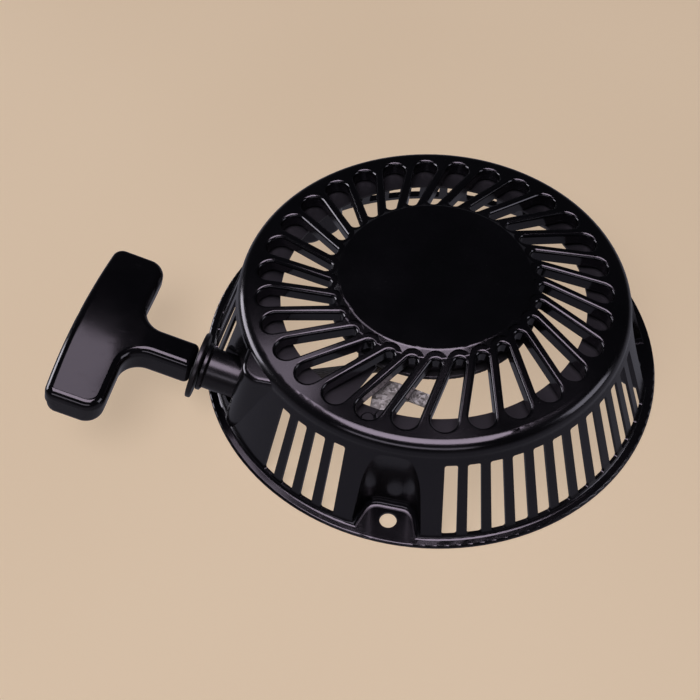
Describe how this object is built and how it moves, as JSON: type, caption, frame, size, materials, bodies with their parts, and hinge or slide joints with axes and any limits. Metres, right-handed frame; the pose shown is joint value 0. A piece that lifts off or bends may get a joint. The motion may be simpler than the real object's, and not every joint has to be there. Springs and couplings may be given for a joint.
{
  "type": "recoil starter",
  "caption": "Recoil pull starter for a small engine: vented pressed steel housing, sprung rope reel with two drive pawls, rope guide and T-shaped pull handle.",
  "frame": {"origin": "on the crankshaft's axis, in the plane of the flange's underside", "axes": "+Z along the crankshaft's axis, away from the engine; -X towards the pull handle"},
  "size_m": [0.2366, 0.19, 0.0472],
  "materials": {
    "housing_paint": "gloss black paint on pressed steel",
    "ring_paint": "satin black paint on steel",
    "galvanised_steel": "galvanised steel with a spangle",
    "zinc_steel": "bright zinc plated steel",
    "spring_steel": "blued spring steel",
    "case_steel": "satin black paint on steel",
    "bearing_bronze": "sintered bronze",
    "reel_plastic": "black nylon, matte",
    "guide_plastic": "black nylon, semi gloss",
    "handle_plastic": "black moulded plastic, glossy",
    "washer_plastic": "black plastic, satin",
    "rope_braid": "dark braided nylon cord"
  },
  "bodies": {
    "housing": {"housing": "housing_paint", "inner_ring": "ring_paint", "keeper_strap": "galvanised_steel", "keeper_rivets": "zinc_steel", "spring_case": "case_steel", "hub_post": "zinc_steel", "thrust_washer": "zinc_steel", "centre_bolt": "zinc_steel", "rope_guide": "guide_plastic", "guide_clip": "spring_steel", "rope_run": "rope_braid"},
    "reel": {"reel": "reel_plastic", "reel_bush": "bearing_bronze", "rope_winding": "rope_braid", "reel_knot": "rope_braid", "mainspring": "spring_steel", "pawl_pins": "zinc_steel", "friction_spring": "spring_steel"},
    "friction_plate": {"friction_plate": "galvanised_steel"},
    "pawl_a": {"pawl_a": "zinc_steel"},
    "pawl_b": {"pawl_b": "zinc_steel"},
    "handle": {"handle_grip": "handle_plastic", "handle_plug": "handle_plastic", "handle_knot": "rope_braid", "stop_washer": "washer_plastic", "rope_lead": "rope_braid"}
  },
  "joints": [
    {"name": "handle_pull", "type": "slide", "parent": "housing", "child": "handle", "axis": [-0.9541, 0.1171, 0.2756], "range_m": [0, 0.7], "stiffness_N_per_m": 25, "springref_m": -0.4},
    {"name": "reel_spin", "type": "hinge", "parent": "housing", "child": "reel", "pos_m": [0, 0, 0.025], "axis": [0, 0, 1], "range_deg": [-2400, 0], "deforming": ["mainspring"]},
    {"name": "plate_turn", "type": "hinge", "parent": "reel", "child": "friction_plate", "pos_m": [0, 0, 0.0103], "axis": [0, 0, 1], "range_deg": [0, 20], "stiffness_Nm_per_rad": 0.01, "springref_deg": -9.74},
    {"name": "pawl_a_swing", "type": "hinge", "parent": "reel", "child": "pawl_a", "pos_m": [-0.01359, -0.00634, 0.0131], "axis": [0, 0, 1], "range_deg": [0, 32]},
    {"name": "pawl_b_swing", "type": "hinge", "parent": "reel", "child": "pawl_b", "pos_m": [0.01359, 0.00634, 0.0131], "axis": [0, 0, 1], "range_deg": [0, 32]}
  ],
  "couplings": [
    {"joint": "reel_spin", "follows": "handle_pull", "rad_per_m": -58.824},
    {"joint": "pawl_a_swing", "follows": "plate_turn", "ratio": 1.6},
    {"joint": "pawl_b_swing", "follows": "plate_turn", "ratio": 1.6}
  ]
}
